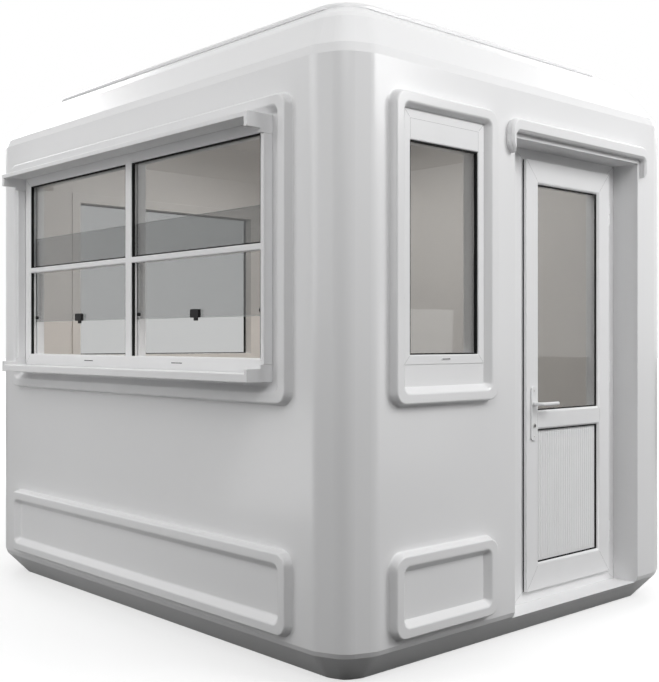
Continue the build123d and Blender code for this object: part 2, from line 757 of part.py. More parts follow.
def narrow_light():
    """Opening of the narrow window's frame."""
    left, right, bottom, top = narrow_box()
    sill = bottom + NARROW_SILL_RAIL
    return (left + NARROW_STILE, right - NARROW_STILE, sill, top - NARROW_HEAD_PANEL)


def back_frame():
    """Back window frame with even stiles and rails."""
    return window_frame(BACK, back_box(), back_light())


def back_light():
    """Opening of the back window's frame."""
    return shrink(back_box(), BACK_STILE)


def hinge_axis():
    """Place of the hinge line in plan, beside the leaf and in front of the frame's face."""
    x = LEAF_RIGHT + HINGE_GAP + HINGE_RADIUS
    y = -HALF_LENGTH + DOOR_REVEAL - HINGE_GAP - HINGE_RADIUS
    return x, y


def knuckle(z0, z1):
    """Length of hinge barrel."""
    x, y = hinge_axis()
    return Pos(x, y, (z0 + z1) / 2) * Cylinder(HINGE_RADIUS, z1 - z0)


def hinges_fixed():
    """Lower barrels, pins and plates that are screwed to the frame."""
    x, y = hinge_axis()
    face = -HALF_LENGTH + DOOR_REVEAL
    parts = []
    for z in HINGE_HEIGHTS:
        z0 = z - HINGE_LENGTH / 2
        z1 = z - HINGE_SPLIT
        barrel = knuckle(z0, z1)
        tab = cuboid(x, x + 3 * HINGE_RADIUS, face - HINGE_LEAF, face, z0, z1)
        link = cuboid(x, x + HINGE_RADIUS, y, face, z0, z1)
        pin = Pos(x, y, z) * Cylinder(HINGE_PIN_RADIUS, HINGE_LENGTH * HINGE_PIN_SHARE)
        parts.append(barrel + tab + link + pin)
    return Compound(children=parts)


def hinges_moving():
    """Upper barrels and plates that are screwed to the leaf."""
    x, y = hinge_axis()
    parts = []
    for z in HINGE_HEIGHTS:
        z0 = z + HINGE_SPLIT
        z1 = z + HINGE_LENGTH / 2
        barrel = knuckle(z0, z1)
        leaf = cuboid(LEAF_RIGHT, x, y - HINGE_RADIUS, y - HINGE_RADIUS + HINGE_LEAF, z0, z1)
        bore_length = HINGE_LENGTH * HINGE_PIN_SHARE + 2 * HINGE_SPLIT
        bore = Pos(x, y, z) * Cylinder(HINGE_PIN_RADIUS + HINGE_PIN_FIT, bore_length)
        parts.append(barrel + leaf - bore)
    return Compound(children=parts)


def backplate(depth0, depth1):
    """Long handle plate with a clear bore for the lever's neck."""
    left = PLATE_MID - PLATE_WIDTH / 2
    right = PLATE_MID + PLATE_WIDTH / 2
    plate = block(FRONT, left, right, PLATE_BOTTOM, PLATE_TOP, depth0, depth1, PLATE_WIDTH / 3)
    return plate - keyway(depth0, depth1)


def lever(depth, direction):
    """Lever bent from one flat bar: a round neck that starts at depth, a bend and a level arm."""
    start = FRONT.offset(depth) * Pos(PLATE_MID, LEVER_HEIGHT)
    neck = extrude(start * Circle(NECK_RADIUS), amount=direction * NECK_LENGTH)
    root = start.position
    outward = FRONT.z_dir * direction
    elbow = root + outward * LEVER_REACH
    tip = elbow + Vector(LEVER_LENGTH, 0, 0)
    path = FilletPolyline(root, elbow, tip, radius=LEVER_BEND)
    section_plane = Plane(root, x_dir=(0, 0, 1), z_dir=outward)
    section = chamfer(Rectangle(*LEVER_SECTION).vertices(), LEVER_EDGE)
    bar = sweep(section_plane * section, path=path)
    return neck + bar


def spindle():
    """Square bar through the leaf that joins both levers."""
    outer, _, core_back = leaf_depths()
    bar = FRONT.offset(core_back) * Pos(PLATE_MID, LEVER_HEIGHT) * Rectangle(SPINDLE, SPINDLE)
    return extrude(bar, amount=outer - core_back)


def lock_cylinder():
    """Key cylinder through the leaf, standing a little out of both plates."""
    outer, _, core_back = leaf_depths()
    stand = PLATE_THICKNESS + CYLINDER_STAND
    start = core_back - stand
    bar = FRONT.offset(start) * Pos(PLATE_MID, CYLINDER_HEIGHT) * Circle(CYLINDER_RADIUS)
    return extrude(bar, amount=outer - core_back + 2 * stand)


def knobs():
    """Black buttons with small grip flats near the lower corners of the sliding panes."""
    outer, _ = sash_depths()
    parts = []
    for left, right, _, _ in serving_lights()[:2]:
        for u in (left + KNOB_INSET, right - KNOB_INSET):
            place = SERVING.offset(outer) * Pos(u, SASH_BOTTOM + KNOB_RISE)
            parts.append(extrude(place * RegularPolygon(KNOB_RADIUS, KNOB_FLATS), amount=KNOB_HEIGHT))
    return Compound(children=parts)


def build():
    """Every sub-part by name."""
    parts = {}
    shell = wall_ring()
    parts["base_tray"] = base_tray()
    parts["floor_deck"] = floor_deck()
    parts["threshold"] = threshold()
    parts["corner_front_left"] = corner(shell, -1, -1)
    parts["corner_front_right"] = corner(shell, 1, -1)
    parts["corner_back_left"] = corner(shell, -1, 1)
    parts["corner_back_right"] = corner(shell, 1, 1)
    parts["left_wall"] = left_wall()
    parts["right_wall"] = right_wall()
    parts["back_wall"] = back_wall()
    parts["front_wall"] = front_wall()
    parts["front_pier"] = front_pier()
    parts["door_head"] = door_head()
    parts["roof_shell"] = roof_shell()
    parts["roof_plateau"] = roof_plateau()
    parts["door_canopy"] = door_canopy()
    left, right, top = reveal_boxes()
    parts["reveal_left"] = left
    parts["reveal_right"] = right
    parts["reveal_head"] = top
    parts["door_infill"] = door_infill()
    parts["door_frame"] = door_frame()
    parts["hinges_fixed"] = hinges_fixed()

    parts["serving_frame"] = serving_frame()
    parts["serving_upper_glass"] = serving_upper_glass()
    lights = serving_lights()
    parts["serving_gaskets"] = Compound(
        children=[gasket(SERVING, box, FRAME_PROUD, SASH_EDGE) for box in lights]
    )
    parts["sash_glass_near"] = sash_glass(lights[1])
    parts["sash_glass_far"] = sash_glass(lights[0])
    parts["sash_latches"] = Compound(children=[sash_latch(box) for box in lights[:2]])
    parts["sash_knobs"] = knobs()
    parts["serving_hood"] = serving_hood()
    parts["serving_shelf"] = serving_shelf()
    parts["serving_cheek_near"] = serving_cheek(1)
    parts["serving_cheek_far"] = serving_cheek(-1)

    parts["narrow_window_frame"] = narrow_frame()
    parts["narrow_window_glass"] = glazing(FRONT, narrow_light(), FRAME_PROUD)
    parts["narrow_window_gasket"] = gasket(FRONT, narrow_light(), FRAME_PROUD, SASH_EDGE)
    parts["back_window_frame"] = back_frame()
    parts["back_window_glass"] = glazing(BACK, back_light(), FRAME_PROUD)
    parts["back_window_gasket"] = gasket(BACK, back_light(), FRAME_PROUD, SASH_EDGE)

    outer, _, core_back = leaf_depths()
    upper, lower = glass_boxes()
    parts["leaf_frame"] = leaf_frame()
    parts["door_glass"] = glazing(FRONT, upper, outer)
    parts["door_ribbed_panel"] = ribbed_panel()
    parts["door_gaskets"] = Compound(
        children=[gasket(FRONT, box, outer, GLAZING_BEAD) for box in (upper, lower)]
    )
    parts["hinges_moving"] = hinges_moving()
    parts["backplate_outer"] = backplate(outer, outer + PLATE_THICKNESS)
    parts["backplate_inner"] = backplate(core_back - PLATE_THICKNESS, core_back)
    parts["lock_cylinder"] = lock_cylinder()
    parts["lever_outer"] = lever(outer, 1)
    parts["lever_inner"] = lever(core_back, -1)
    parts["lever_spindle"] = spindle()
    return parts


def main():
    os.makedirs("parts", exist_ok=True)
    for name, shape in build().items():
        export_step(shape, f"parts/{name}.step")


if __name__ == "__main__":
    main()
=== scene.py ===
"""Looks of a white fibreglass kiosk cabin: finishes, small fittings, floor, light and camera.

Metres, +Z up.
"""

import json
import math

import bmesh
import bpy
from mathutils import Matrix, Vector


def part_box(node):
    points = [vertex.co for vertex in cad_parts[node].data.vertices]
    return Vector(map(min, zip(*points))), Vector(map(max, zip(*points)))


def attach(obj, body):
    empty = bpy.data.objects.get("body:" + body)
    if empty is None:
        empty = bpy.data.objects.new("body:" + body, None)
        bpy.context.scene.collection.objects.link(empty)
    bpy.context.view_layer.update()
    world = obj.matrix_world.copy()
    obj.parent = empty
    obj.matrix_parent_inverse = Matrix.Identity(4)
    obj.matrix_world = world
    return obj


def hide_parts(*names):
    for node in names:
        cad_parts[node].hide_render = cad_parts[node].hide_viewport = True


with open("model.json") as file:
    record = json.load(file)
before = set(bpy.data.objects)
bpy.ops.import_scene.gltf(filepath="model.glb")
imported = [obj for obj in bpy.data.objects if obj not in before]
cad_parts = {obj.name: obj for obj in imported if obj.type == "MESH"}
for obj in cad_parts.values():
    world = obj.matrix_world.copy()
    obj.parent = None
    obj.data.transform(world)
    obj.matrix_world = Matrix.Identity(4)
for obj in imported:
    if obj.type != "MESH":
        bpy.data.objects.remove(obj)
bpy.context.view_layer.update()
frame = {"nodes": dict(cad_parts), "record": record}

NODES = frame["nodes"]

# Camera: place, heading from +Y towards +X, lens and sensor in mm, and the picture's small offsets
CAMERA_PLACE = (-3.467, -3.893, 1.205)
CAMERA_HEADING = math.radians(42.505)
CAMERA_LENS = 54.73
CAMERA_SENSOR = 36.0
CAMERA_SHIFT = (-0.0007, -0.001)

# Colours, linear
GEL_WHITE = (0.86, 0.86, 0.865)
LINING = (0.77, 0.735, 0.70)
PVC = (0.87, 0.87, 0.875)
RUBBER = (0.012, 0.012, 0.012)
BLACK_PLASTIC = (0.016, 0.016, 0.017)
GLASS_TINT = (0.735, 0.74, 0.74)
GLASS_EDGE = (0.50, 0.53, 0.52)
VINYL = (0.36, 0.35, 0.335)
STEEL = (0.62, 0.62, 0.60)
STEEL_DARK = (0.12, 0.12, 0.12)
SEAM = (0.36, 0.36, 0.36)
# Painted shade: the dark colour of the drain and key slots stands in for the shade inside their holes
HOLE_SHADE = (0.05, 0.05, 0.05)

# Part of a noise's range that is used
NOISE_RANGE = (0.3, 0.7)

# Gelcoat: clouds in its colour and its roughness, each as a noise (scale, detail) and a range; its clear
# coat; how much rougher the lining is
GEL_CLOUD_NOISE = (1.3, 2.0)
GEL_CLOUD = (0.985, 1.0)
GEL_ROUGH_NOISE = (5.0, 3.0)
GEL_ROUGH = (0.30, 0.36)
GEL_COAT = 0.3
GEL_COAT_ROUGHNESS = 0.14
LINING_ROUGHER = 0.25

# Gelcoat's waviness and fine grain, each as a noise (scale, detail) and a bump (distance, strength)
GEL_WAVE_NOISE = (2.2, 0.0)
GEL_WAVE = (0.002, 0.12)
GEL_GRAIN_NOISE = (220.0, 1.0)
GEL_GRAIN = (0.0002, 0.06)

# Plastic: clouds in its colour, spread of its roughness as shares, and its grain
PLASTIC_CLOUD_NOISE = (9.0, 3.0)
PLASTIC_CLOUD = (0.98, 1.0)
PLASTIC_ROUGH_NOISE = (24.0, 4.0)
PLASTIC_ROUGH = (0.9, 1.1)
PLASTIC_GRAIN_SCALE = 420.0
PLASTIC_GRAIN_DEPTH = 0.0002
PLASTIC_GRAIN_STRENGTH = 0.15

# Steel: turning marks as a noise (scale, detail, stretch), in its colour and its roughness
MARK_NOISE = (90.0, 3.0, (1, 14, 14))
MARK_SHADE = (0.85, 1.0)
MARK_ROUGH = (0.22, 0.38)

# Glass reflection: looking straight on, and what is added at a grazing look
REFLECT_STRAIGHT = 0.035
REFLECT_GRAZING = 0.6
GRAZING_POWER = 4.0
REFLECT_ROUGHNESS = 0.02

# Shell: its outer corner from the frame, its wall, how far into the wall the lining's colour reaches on the
# shell and on window frames, and from which lean on a surface faces up
SHELL_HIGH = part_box("base_tray")[1]
WALL = 0.06
LINING_MARGIN = 0.0004
FRAME_LINING_MARGIN = 0.045
FACES_UP = 0.02

# Each moulded wall and the way it faces
WALL_FACES = {
    "left_wall": Vector((-1, 0, 0)),
    "right_wall": Vector((1, 0, 0)),
    "back_wall": Vector((0, 1, 0)),
    "front_wall": Vector((0, -1, 0)),
}

# Rounding of a moulding's edges: in the field, on the bead's inner and outer edge, and at the wall
EASES = {"field": 0.005, "mouth": 0.005, "crest": 0.006, "root": 0.014}
EASE_STEPS = 5

# Telling a moulding's edges apart: least lean of both faces outward, least lean at a bead's inner edge, and
# how near each other two points of one level are
LEAST_LEAN = 0.1
MOUTH_LEAN = 0.5
SAME_LEVEL = 0.001

# Meshes: welding distance, the angles of a flat, a crease, a softened and a sharp edge, and the steps of a
# small rounded edge
WELD = 0.00002
FLAT_ANGLE = math.radians(0.6)
CREASE_ANGLE = math.radians(14)
SOFTEN_ANGLE = math.radians(25)
SHARP_ANGLE = math.radians(32)
EDGE_STEPS = 2

# Small rounded edges of the other pieces, by width
EDGES = {
    "narrow_window_frame": 0.0015, "back_window_frame": 0.0015, "serving_frame": 0.0015,
    "door_frame": 0.0015, "door_infill": 0.0008,
    "serving_hood": 0.003, "serving_shelf": 0.003, "serving_cheek_near": 0.004,
    "serving_cheek_far": 0.004, "door_canopy": 0.005, "roof_plateau": 0.004,
    "lever_outer": 0.0014, "lever_inner": 0.0014, "sash_latches": 0.0014, "sash_knobs": 0.0014,
    "lock_cylinder": 0.0006,
}

# Pieces whose bores stay sharp: width of their rounded edges, length that these are longer than, slot and
# finish; where the length is 0, only edges near the rim are rounded
BORED = {
    "leaf_frame": (0.0022, 0.02, "pvc_white", "pvc"),
    "backplate_outer": (0.0016, 0.0, "handle_white", "enamel"),
    "backplate_inner": (0.0016, 0.0, "handle_white", "enamel"),
}

# How near a handle plate's rim its rounded edges lie
PLATE_RIM = 0.0048

# Seams: width, depth, of which half is sunk, and their height as a share of it; how far they stay off a
# frame's outer corner
SEAM_WIDTH = 0.0009
SEAM_DEPTH = 0.0004
SEAM_RISE = 0.8
SEAM_CLEAR = 0.0022

# Where seams end: short of a window's pane, past the leaf's edge, and short of the door's pane and panel on
# the outer and the inner side, by a longer way across a corner
WINDOW_SEAM_CLEAR = 0.006
LEAF_SEAM_CLEAR = -0.004
SPLAY_OUTER = 0.012
SPLAY_INNER = 0.003
ACROSS_CORNER = 1.3

# Leaf: how far its core is set in from its flange's edge, and the flange's thickness
LEAF_STEP = 0.027
FLANGE = 0.015

# Door seal: set in from the leaf's edge, its width, and its gap to the frame
SEAL_INSET = 0.0002
SEAL_WIDTH = 0.008
SEAL_CLEAR = 0.0006

# Drains: how far caps and slots sink and stand out, their heights, a cap's border, and the rounding of
# their ends and front edge
CAP_DEPTHS = (-0.0005, 0.0012)
SLOT_DEPTHS = (0.0, 0.0014)
CAP_HEIGHT = 0.009
SLOT_HEIGHT = 0.0042
CAP_BORDER = 0.004
PILL_STEPS = 8
PILL_EASE = 0.0005

# Drains: frame, axis and side that it faces, rise over its foot, slot width and places along the face
DRAINS = (
    ("serving_frame", 0, -1, 0.028, 0.078, (-0.372, 0.337)),
    ("narrow_window_frame", 1, -1, 0.018, 0.046, (-0.561,)),
    ("back_window_frame", 1, 1, 0.024, 0.046, (-0.3, 0.3)),
)

# Screws: radius and height; their dome as shares of both; how far they sink; their cross recess
PLATE_SCREW = (0.0035, 0.0014)
HINGE_SCREW = (0.0030, 0.0012)
SCREW_DOME = ((1.0, 0.35), (0.93, 0.7), (0.72, 1.0))
SCREW_SUNK = 0.0002
SCREW_SIDES = 32
RECESS_REACH = 0.62
RECESS_WAIST = 0.42
RECESS_FLOOR = 0.3

# Turned forms: sides, and from which share on their axis counts as upright
TURNED_SIDES = 24
UPRIGHT = 0.9

# Handle plates: screws from the plate's ends, the key plug's rings (radius, height) and its slot
PLATE_SCREW_INSET = 0.017
KEY_PLUG = ((0.0062, -0.0003), (0.0062, 0.0004), (0.0056, 0.0009))
KEY_SLOT = (0.0016, 0.0004, 0.0084)
KEY_SLOT_EASE = 0.00008

# Hinges: barrel, tab beside it, the tab's screws, and the rings of the barrel's domed ends
HINGE_RADIUS = 0.0075
HINGE_LENGTH = 0.096
HINGE_TAB = 0.0225
HINGE_TAB_PROUD = 0.003
HINGE_SCREW_PLACE = 0.62
HINGE_SCREW_DROPS = (0.012, 0.036)
HINGE_DOME = ((0.0068, -0.0002), (0.0068, 0.0008), (0.0056, 0.0022), (0.003, 0.0030), (0.001, 0.0032))

# Ground edges of the raised panes: height, how far they stand out, inset from the sides, and easing
PANE_EDGE = 0.0016
PANE_EDGE_PROUD = 0.0002
PANE_EDGE_INSET = 0.012
PANE_EDGE_EASE = 0.0003

# Base chamfer: how far it sets in over its height; and the sill plate's front edge
CHAMFER_INSET = 0.105
CHAMFER_HEIGHT = 0.113
SILL_EASE = 0.003
SILL_STEPS = 3

# Serving window: bars, and the gaskets' width and depths from the frame's face
MULLION = 0.049
TRANSOM = 0.025
GASKET_WIDTH = 0.005
GASKET_DEPTHS = (-0.017, -0.0045)

# Floor: half its side, and how far it lies under the cabin
FLOOR_SIZE = 60
FLOOR_DROP = 0.0005

# Floor as it is seen: its paint, its glow near the cabin, and the distances over which it fades to white
FLOOR_PALE = 0.5
FLOOR_GLOW = 0.58
FLOOR_NEAR = 3.0
FLOOR_FAR = 7.0

# Floor as soft light and as glossy reflections meet it
FLOOR_BOUNCE = 0.045
FLOOR_MIRRORED = 0.62

# Dome: strength at the horizon and overhead
DOME_LOW = 0.02
DOME_HIGH = 0.66

# Soft lamps: place, what they point at, size and watts
LAMPS = {
    "key_right": ((1.7, -5.2, 4.17), (0.2, -1.2, 1.75), (3.0, 2.4), 158),
    "fill_left": ((-4.8, 1.2, 4.2), (-1.0, 0.2, 1.9), (3.0, 2.4), 52),
    "fill_middle": ((-5.6, 0.3, 2.4), (-1.07, 0.0, 1.2), (2.6, 2.0), 27),
    "corner_high": ((-3.6, -4.2, 4.4), (-1.0, -1.3, 1.6), (2.4, 2.4), 66),
    "hood_low": ((-3.2, 0.8, 0.45), (-1.1, 0.0, 2.0), (1.6, 0.8), 10),
    "door_low": ((1.0, -3.3, 0.9), (0.45, -1.2, 0.8), (1.2, 1.0), 5),
    "ceiling": ((0.0, 0.0, 2.3), (0.0, 0.0, 0.0), (1.2, 1.8), 20),
    "far_side": ((5.2, 0.4, 4.2), (1.0, 0.0, 1.5), (3.0, 2.4), 100),
    "far_end": ((0.3, 5.8, 4.2), (0.0, 1.3, 1.5), (3.0, 2.4), 100),
}


def new_material(name):
    """Empty node material with its output."""
    material = bpy.data.materials.new(name)
    material.use_nodes = True
    material.node_tree.nodes.clear()
    output = material.node_tree.nodes.new("ShaderNodeOutputMaterial")
    return material, material.node_tree, output


def link(tree, source, target):
    """Joins two sockets."""
    tree.links.new(source, target)


def maths(tree, operation, first, second=0.0):
    """Math node on sockets or plain numbers."""
    node = tree.nodes.new("ShaderNodeMath")
    node.operation = operation
    for socket, value in zip(node.inputs, (first, second)):
        if isinstance(value, (int, float)):
            socket.default_value = value
        else:
            link(tree, value, socket)
    return node.outputs[0]


def noise(tree, scale, detail=2.0, stretch=(1, 1, 1)):
    """Noise in the object's own space."""
    place = tree.nodes.new("ShaderNodeTexCoord")
    mapping = tree.nodes.new("ShaderNodeMapping")
    mapping.inputs["Scale"].default_value = stretch
    texture = tree.nodes.new("ShaderNodeTexNoise")
    texture.inputs["Scale"].default_value = scale
    texture.inputs["Detail"].default_value = detail
    link(tree, place.outputs["Object"], mapping.inputs["Vector"])
    link(tree, mapping.outputs["Vector"], texture.inputs["Vector"])
    return texture.outputs["Fac"]


def ranged(tree, value, to_range, from_range=NOISE_RANGE):
    """Value mapped from one range to another."""
    node = tree.nodes.new("ShaderNodeMapRange")
    node.inputs["From Min"].default_value = from_range[0]
    node.inputs["From Max"].default_value = from_range[1]
    node.inputs["To Min"].default_value = to_range[0]
    node.inputs["To Max"].default_value = to_range[1]
    link(tree, value, node.inputs["Value"])
    return node.outputs["Result"]


def tinted(tree, color, factor):
    """Colour multiplied by a grey factor socket."""
    node = tree.nodes.new("ShaderNodeMix")
    node.data_type = "RGBA"
    node.blend_type = "MULTIPLY"
    node.inputs["Factor"].default_value = 1.0
    if isinstance(color, tuple):
        node.inputs["A"].default_value = (*color, 1)
    else:
        link(tree, color, node.inputs["A"])
    link(tree, factor, node.inputs["B"])
    return node.outputs["Result"]


def with_lining(tree, color, inside):
    """Colour that gives way to the lining's where a socket says inside."""
    node = tree.nodes.new("ShaderNodeMix")
    node.data_type = "RGBA"
    node.inputs["A"].default_value = (*color, 1)
    node.inputs["B"].default_value = (*LINING, 1)
    link(tree, inside, node.inputs["Factor"])
    return node.outputs["Result"]


def mixed_shaders(tree, share, first, second):
    """Mix of two shader nodes by the share of the second."""
    mix = tree.nodes.new("ShaderNodeMixShader")
    link(tree, share, mix.inputs[0])
    link(tree, first.outputs[0], mix.inputs[1])
    link(tree, second.outputs[0], mix.inputs[2])
    return mix


def bump(tree, height, distance, strength, below=None):
    """Bump node over an earlier one."""
    node = tree.nodes.new("ShaderNodeBump")
    node.inputs["Distance"].default_value = distance
    node.inputs["Strength"].default_value = strength
    link(tree, height, node.inputs["Height"])
    if below is not None:
        link(tree, below, node.inputs["Normal"])
    return node.outputs["Normal"]


def principled(tree, roughness=0.4, metallic=0.0, coat=0.0, coat_roughness=0.1, specular=0.5):
    """Principled shader with its constants on its own sockets."""
    shader = tree.nodes.new("ShaderNodeBsdfPrincipled")
    shader.inputs["Specular IOR Level"].default_value = specular
    shader.inputs["Roughness"].default_value = roughness
    shader.inputs["Metallic"].default_value = metallic
    shader.inputs["Coat Weight"].default_value = coat
    shader.inputs["Coat Roughness"].default_value = coat_roughness
    return shader


def lined_inside(tree, margin=LINING_MARGIN):
    """1 on the shell's inner side and 0 on its outer side, by the point's place and the way it faces."""
    place = tree.nodes.new("ShaderNodeTexCoord")
    parts = tree.nodes.new("ShaderNodeSeparateXYZ")
    link(tree, place.outputs["Object"], parts.inputs[0])
    facing = tree.nodes.new("ShaderNodeSeparateXYZ")
    link(tree, place.outputs["Normal"], facing.inputs[0])
    in_x = maths(tree, "LESS_THAN", maths(tree, "ABSOLUTE", parts.outputs[0]),
                 SHELL_HIGH.x - WALL + margin)
    in_y = maths(tree, "LESS_THAN", maths(tree, "ABSOLUTE", parts.outputs[1]),
                 SHELL_HIGH.y - WALL + margin)
    not_up = maths(tree, "LESS_THAN", facing.outputs[2], FACES_UP)
    low = maths(tree, "LESS_THAN", parts.outputs[2], SHELL_HIGH.z)
    return maths(tree, "MULTIPLY", maths(tree, "MULTIPLY", in_x, in_y), maths(tree, "MAXIMUM", not_up, low))


def gelcoat(name, lined):
    """Glossy white moulded gelcoat, with the matt beige lining on the shell's inner side if it is lined."""
    material, tree, output = new_material(name)
    shader = principled(tree, coat=GEL_COAT, coat_roughness=GEL_COAT_ROUGHNESS)
    color = GEL_WHITE
    rough = ranged(tree, noise(tree, *GEL_ROUGH_NOISE), GEL_ROUGH)
    if lined:
        inside = lined_inside(tree)
        color = with_lining(tree, GEL_WHITE, inside)
        rough = maths(tree, "ADD", rough, maths(tree, "MULTIPLY", inside, LINING_ROUGHER))
    cloud = ranged(tree, noise(tree, *GEL_CLOUD_NOISE), GEL_CLOUD)
    link(tree, tinted(tree, color, cloud), shader.inputs["Base Color"])
    link(tree, rough, shader.inputs["Roughness"])
    waves = bump(tree, noise(tree, *GEL_WAVE_NOISE), *GEL_WAVE)
    link(tree, bump(tree, noise(tree, *GEL_GRAIN_NOISE), *GEL_GRAIN, waves), shader.inputs["Normal"])
    link(tree, shader.outputs[0], output.inputs["Surface"])
    return material


def plastic(name, color, roughness, grain=PLASTIC_GRAIN_SCALE, depth=PLASTIC_GRAIN_DEPTH, coat=0.0,
            specular=0.5, lined=False):
    """Moulded or extruded plastic with a faint grain, lined frames with the lining's colour indoors."""
    material, tree, output = new_material(name)
    shader = principled(tree, roughness, coat=coat, specular=specular)
    if lined:
        color = with_lining(tree, color, lined_inside(tree, FRAME_LINING_MARGIN))
    cloud = ranged(tree, noise(tree, *PLASTIC_CLOUD_NOISE), PLASTIC_CLOUD)
    link(tree, tinted(tree, color, cloud), shader.inputs["Base Color"])
    rough_range = [roughness * share for share in PLASTIC_ROUGH]
    link(tree, ranged(tree, noise(tree, *PLASTIC_ROUGH_NOISE), rough_range), shader.inputs["Roughness"])
    link(tree, bump(tree, noise(tree, grain), depth, PLASTIC_GRAIN_STRENGTH), shader.inputs["Normal"])
    link(tree, shader.outputs[0], output.inputs["Surface"])
    return material


def tinted_glass():
    """Grey tinted pane that lets lamps through, with a clear reflection that grows at a grazing look."""
    material, tree, output = new_material("glass_grey_tint")
    clear = tree.nodes.new("ShaderNodeBsdfTransparent")
    clear.inputs["Color"].default_value = (*GLASS_TINT, 1)
    gloss = tree.nodes.new("ShaderNodeBsdfGlossy")
    gloss.inputs["Color"].default_value = (1, 1, 1, 1)
    gloss.inputs["Roughness"].default_value = REFLECT_ROUGHNESS
    edge = tree.nodes.new("ShaderNodeLayerWeight")
    edge.inputs["Blend"].default_value = 0.5
    grazing = maths(tree, "POWER", edge.outputs["Facing"], GRAZING_POWER)
    share = maths(tree, "ADD", maths(tree, "MULTIPLY", grazing, REFLECT_GRAZING), REFLECT_STRAIGHT)
    mix = mixed_shaders(tree, share, clear, gloss)
    link(tree, mix.outputs[0], output.inputs["Surface"])
    return material


def brushed_steel(name, color):
    """Plated steel with fine turning marks."""
    material, tree, output = new_material(name)
    shader = principled(tree, 0.3, metallic=1.0)
    marks = noise(tree, *MARK_NOISE)
    link(tree, tinted(tree, color, ranged(tree, marks, MARK_SHADE)), shader.inputs["Base Color"])
    link(tree, ranged(tree, marks, MARK_ROUGH), shader.inputs["Roughness"])
    link(tree, shader.outputs[0], output.inputs["Surface"])
    return material


# Plastics: name, colour, roughness and, where they differ, the grain's scale and depth
MATERIALS = {
    "grp": gelcoat("gelcoat_white_lined", True),
    "grp_outside": gelcoat("gelcoat_white", False),
    "pvc": plastic("pvc_white_satin", PVC, 0.34, coat=0.12),
    "pvc_lined": plastic("pvc_white_lined", PVC, 0.34, coat=0.12, lined=True),
    "rubber": plastic("rubber_black_matt", RUBBER, 0.75, 800.0, specular=0.15),
    "black": plastic("plastic_black_satin", BLACK_PLASTIC, 0.45, 900.0, specular=0.15),
    "vinyl": plastic("vinyl_grey", VINYL, 0.6, 500.0, 0.0006),
    "enamel": plastic("enamel_white", PVC, 0.25, 600.0, coat=0.3),
    "seam": plastic("seam_grey", SEAM, 0.6),
    # Painted shade for the holes of the drain and key slots
    "gap": plastic("painted_hole_shade", HOLE_SHADE, 0.7),
    "glass_edge": plastic("glass_edge_ground", GLASS_EDGE, 0.4, 700.0),
    "steel": brushed_steel("steel_plated", STEEL),
    "steel_dark": brushed_steel("steel_dark", STEEL_DARK),
    "glass": tinted_glass(),
}

# Finish of each material slot
FINISH = {
    "grp_shell": "grp", "grp_base": "grp_outside", "grp_roof": "grp", "floor_vinyl": "vinyl",
    "pvc_white": "pvc", "pvc_panel": "pvc", "hood_white": "pvc", "rubber_black": "rubber",
    "plastic_black": "black", "clear_glass": "glass", "handle_white": "enamel",
    "hinge_white": "enamel", "cylinder_steel": "steel",
}

# Nodes with another finish than their slot's: white on every side, or beige indoors
OWN_FINISH = {
    "roof_plateau": "grp_outside", "door_canopy": "grp_outside", "reveal_left": "grp_outside",
    "reveal_right": "grp_outside", "reveal_head": "grp_outside", "back_window_frame": "pvc_lined",
}


def dress_nodes():
    """Gives every CAD node the finish of its record slot, or its own."""
    for part in frame["record"]["subparts"]:
        name = part["node"]
        finish = OWN_FINISH.get(name, FINISH[part["material_slot"]])
        for slot in NODES[name].material_slots:
            slot.material = MATERIALS[finish]


def soften(name, width):
    """Small rounded edges on a CAD node, by modifiers alone."""
    piece = NODES[name]
    weld = piece.modifiers.new("join", "WELD")
    weld.merge_threshold = WELD
    bevel = piece.modifiers.new("edges", "BEVEL")
    bevel.width = width
    bevel.segments = EDGE_STEPS
    bevel.limit_method = "ANGLE"
    bevel.angle_limit = SOFTEN_ANGLE
    bevel.harden_normals = True
    bevel.use_clamp_overlap = True


def add_piece(name, form, body, finish):
    """New piece on a body from a bmesh, smooth apart from its sharp edges."""
    mesh = bpy.data.meshes.new(name)
    for face in form.faces:
        face.smooth = True
    bmesh.ops.recalc_face_normals(form, faces=form.faces)
    form.to_mesh(mesh)
    form.free()
    mesh.set_sharp_from_angle(angle=SHARP_ANGLE)
    mesh.materials.append(MATERIALS[finish])
    piece = bpy.data.objects.new(name, mesh)
    bpy.context.scene.collection.objects.link(piece)
    evened = piece.modifiers.new("even", "WEIGHTED_NORMAL")
    evened.keep_sharp = True
    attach(piece, body)
    return piece


def node_form(name):
    """The mesh of a CAD node as a new bmesh, with its flat faces joined."""
    form = bmesh.new()
    form.from_mesh(NODES[name].data)
    bmesh.ops.remove_doubles(form, verts=form.verts, dist=WELD)
    bmesh.ops.dissolve_limit(form, angle_limit=FLAT_ANGLE, verts=form.verts, edges=form.edges)
    return form


def round_edges(form, edges, width, steps):
    """Rounds some edges, and less where there is no room."""
    bmesh.ops.bevel(form, geom=edges, offset=width, offset_type="OFFSET", segments=steps,
                    profile=0.5, affect="EDGES", clamp_overlap=True)


def moulding_edges(form, outward, face_height):
    """Edges of a wall's mouldings, sorted by where on the moulding they run."""
    groups = {group: [] for group in EASES}
    top = max(vert.co.dot(outward) for vert in form.verts) - face_height
    for edge in form.edges:
        if len(edge.link_faces) != 2 or edge.calc_face_angle(0) < CREASE_ANGLE:
            continue
        lean = min(face.normal.dot(outward) for face in edge.link_faces)
        if lean < LEAST_LEAN:
            continue
        height = min(vert.co.dot(outward) for vert in edge.verts) - face_height
        if height > top - SAME_LEVEL:
            groups["mouth" if lean > MOUTH_LEAN else "crest"].append(edge)
        elif height < SAME_LEVEL:
            groups["root"].append(edge)
        else:
            groups["field"].append(edge)
    return groups


